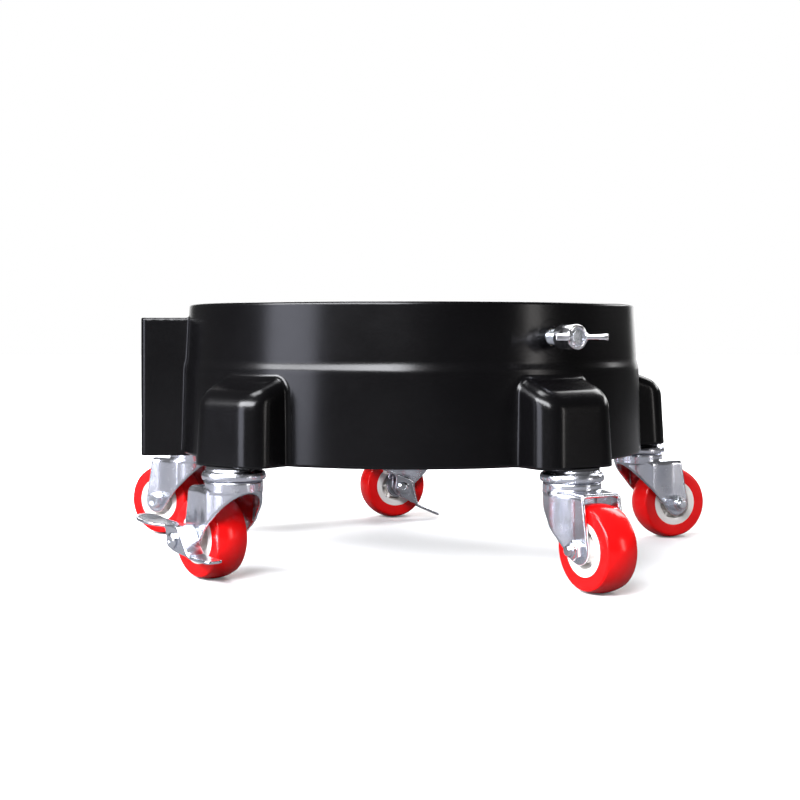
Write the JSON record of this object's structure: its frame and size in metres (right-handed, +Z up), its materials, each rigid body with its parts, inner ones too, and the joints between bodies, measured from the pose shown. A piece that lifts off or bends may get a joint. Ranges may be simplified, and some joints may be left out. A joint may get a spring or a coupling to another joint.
{
  "type": "drum dolly",
  "caption": "Rolling dolly for a pail or small drum: a moulded ring with corner bosses on swivel casters, wing screws that grip the drum, brake levers and a side pocket.",
  "frame": {"origin": "centre of the drum seat: on the ring's axis, level with the top of the seat ledge", "axes": "+Z up along the ring's axis; the rear caster's swivel stands on +Y, the wing screw that shows stands 36 degrees from -Y towards +X"},
  "size_m": [0.4078, 0.3622, 0.1629],
  "materials": {
    "black_plastic": "satin, fine moulded grain",
    "black_washer": "matt",
    "bearing_steel": "polished",
    "insert_brass": "turned",
    "red_tyre": "glossy polyurethane",
    "white_hub": "satin moulded",
    "zinc_plate": "bright zinc plate",
    "lever_steel": "bright zinc plate",
    "dark_steel": "oiled",
    "cast_zinc": "plated casting",
    "pad_plastic": "matt",
    "fastener_steel": "zinc plate"
  },
  "bodies": {
    "ring": {"ring_body": "black_plastic", "stem_sockets": "fastener_steel", "neck_washers": "black_washer", "bearing_balls": "bearing_steel", "screw_inserts": "insert_brass", "stem_front_right": "fastener_steel", "stem_front_left": "fastener_steel", "stem_side_right": "fastener_steel", "stem_side_left": "fastener_steel", "stem_rear": "fastener_steel", "race_cap_front_right": "zinc_plate", "race_cap_front_left": "zinc_plate", "race_cap_side_right": "zinc_plate", "race_cap_side_left": "zinc_plate", "race_cap_rear": "zinc_plate"},
    "caster_front_right": {"fork_front_right": "zinc_plate", "axle_bolt_front_right": "fastener_steel", "axle_nut_front_right": "fastener_steel", "axle_sleeve_front_right": "fastener_steel"},
    "wheel_front_right": {"hub_front_right": "white_hub", "tyre_front_right": "red_tyre"},
    "caster_front_left": {"fork_front_left": "zinc_plate", "axle_bolt_front_left": "fastener_steel", "axle_nut_front_left": "fastener_steel", "axle_sleeve_front_left": "fastener_steel"},
    "wheel_front_left": {"hub_front_left": "white_hub", "tyre_front_left": "red_tyre"},
    "brake_front_left": {"brake_lever_front_left": "lever_steel", "brake_cam_front_left": "dark_steel"},
    "caster_side_right": {"fork_side_right": "zinc_plate", "axle_bolt_side_right": "fastener_steel", "axle_nut_side_right": "fastener_steel", "axle_sleeve_side_right": "fastener_steel"},
    "wheel_side_right": {"hub_side_right": "white_hub", "tyre_side_right": "red_tyre"},
    "caster_side_left": {"fork_side_left": "zinc_plate", "axle_bolt_side_left": "fastener_steel", "axle_nut_side_left": "fastener_steel", "axle_sleeve_side_left": "fastener_steel"},
    "wheel_side_left": {"hub_side_left": "white_hub", "tyre_side_left": "red_tyre"},
    "caster_rear": {"fork_rear": "zinc_plate", "axle_bolt_rear": "fastener_steel", "axle_nut_rear": "fastener_steel", "axle_sleeve_rear": "fastener_steel"},
    "wheel_rear": {"hub_rear": "white_hub", "tyre_rear": "red_tyre"},
    "brake_rear": {"brake_lever_rear": "lever_steel", "brake_cam_rear": "dark_steel"},
    "tip_pad_front_right": {"tip_pad_front_right": "pad_plastic"},
    "wing_screw_front_right": {"screw_rod_front_right": "fastener_steel", "wing_nut_front_right": "cast_zinc"},
    "tip_pad_side_left": {"tip_pad_side_left": "pad_plastic"},
    "wing_screw_side_left": {"screw_rod_side_left": "fastener_steel", "wing_nut_side_left": "cast_zinc"},
    "tip_pad_rear": {"tip_pad_rear": "pad_plastic"},
    "wing_screw_rear": {"screw_rod_rear": "fastener_steel", "wing_nut_rear": "cast_zinc"}
  },
  "joints": [
    {"name": "swivel_front_right", "type": "hinge", "parent": "ring", "child": "caster_front_right", "pos_m": [0.09722, -0.13381, -0.0184], "axis": [0, 0, 1], "continuous": true},
    {"name": "roll_front_right", "type": "hinge", "parent": "caster_front_right", "child": "wheel_front_right", "pos_m": [0.10985, -0.15363, -0.0489], "axis": [0.8434, 0.5373, 0], "continuous": true},
    {"name": "swivel_front_left", "type": "hinge", "parent": "ring", "child": "caster_front_left", "pos_m": [-0.09722, -0.13381, -0.0184], "axis": [0, 0, 1], "continuous": true},
    {"name": "roll_front_left", "type": "hinge", "parent": "caster_front_left", "child": "wheel_front_left", "pos_m": [-0.11372, -0.11708, -0.0489], "axis": [-0.712, -0.7022, 0], "continuous": true},
    {"name": "brake_front_left", "type": "hinge", "parent": "caster_front_left", "child": "brake_front_left", "pos_m": [-0.11372, -0.11708, -0.0489], "axis": [-0.712, -0.7022, 0], "range_deg": [-22, 0]},
    {"name": "swivel_side_right", "type": "hinge", "parent": "ring", "child": "caster_side_right", "pos_m": [0.15731, 0.05111, -0.0184], "axis": [0, 0, 1], "continuous": true},
    {"name": "roll_side_right", "type": "hinge", "parent": "caster_side_right", "child": "wheel_side_right", "pos_m": [0.17917, 0.05972, -0.0489], "axis": [-0.3665, 0.9304, 0], "continuous": true},
    {"name": "swivel_side_left", "type": "hinge", "parent": "ring", "child": "caster_side_left", "pos_m": [-0.15731, 0.05111, -0.0184], "axis": [0, 0, 1], "continuous": true},
    {"name": "roll_side_left", "type": "hinge", "parent": "caster_side_left", "child": "wheel_side_left", "pos_m": [-0.1786, 0.06104, -0.0489], "axis": [-0.4226, -0.9063, 0], "continuous": true},
    {"name": "swivel_rear", "type": "hinge", "parent": "ring", "child": "caster_rear", "pos_m": [0, 0.1654, -0.0184], "axis": [0, 0, 1], "continuous": true},
    {"name": "roll_rear", "type": "hinge", "parent": "caster_rear", "child": "wheel_rear", "pos_m": [-0.02185, 0.15675, -0.0489], "axis": [0.3681, -0.9298, 0], "continuous": true},
    {"name": "brake_rear", "type": "hinge", "parent": "caster_rear", "child": "brake_rear", "pos_m": [-0.02185, 0.15675, -0.0489], "axis": [0.3681, -0.9298, 0], "range_deg": [0, 22]},
    {"name": "feed_front_right", "type": "slide", "parent": "ring", "child": "tip_pad_front_right", "axis": [-0.5878, 0.809, 0], "range_m": [0, 0.006]},
    {"name": "turn_front_right", "type": "hinge", "parent": "tip_pad_front_right", "child": "wing_screw_front_right", "pos_m": [0.08405, -0.11569, 0.0685], "axis": [-0.5878, 0.809, 0], "range_deg": [0, 1440]},
    {"name": "feed_side_left", "type": "slide", "parent": "ring", "child": "tip_pad_side_left", "axis": [0.9511, -0.309, 0], "range_m": [0, 0.006]},
    {"name": "turn_side_left", "type": "hinge", "parent": "tip_pad_side_left", "child": "wing_screw_side_left", "pos_m": [-0.136, 0.04419, 0.0685], "axis": [0.9511, -0.309, 0], "range_deg": [0, 1440]},
    {"name": "feed_rear", "type": "slide", "parent": "ring", "child": "tip_pad_rear", "axis": [0, -1, 0], "range_m": [0, 0.006]},
    {"name": "turn_rear", "type": "hinge", "parent": "tip_pad_rear", "child": "wing_screw_rear", "pos_m": [0, 0.143, 0.0685], "axis": [0, -1, 0], "range_deg": [0, 1440]}
  ],
  "couplings": [
    {"joint": "feed_front_right", "follows": "turn_front_right", "m_per_rad": 0.00023873},
    {"joint": "feed_side_left", "follows": "turn_side_left", "m_per_rad": 0.00023873},
    {"joint": "feed_rear", "follows": "turn_rear", "m_per_rad": 0.00023873}
  ]
}
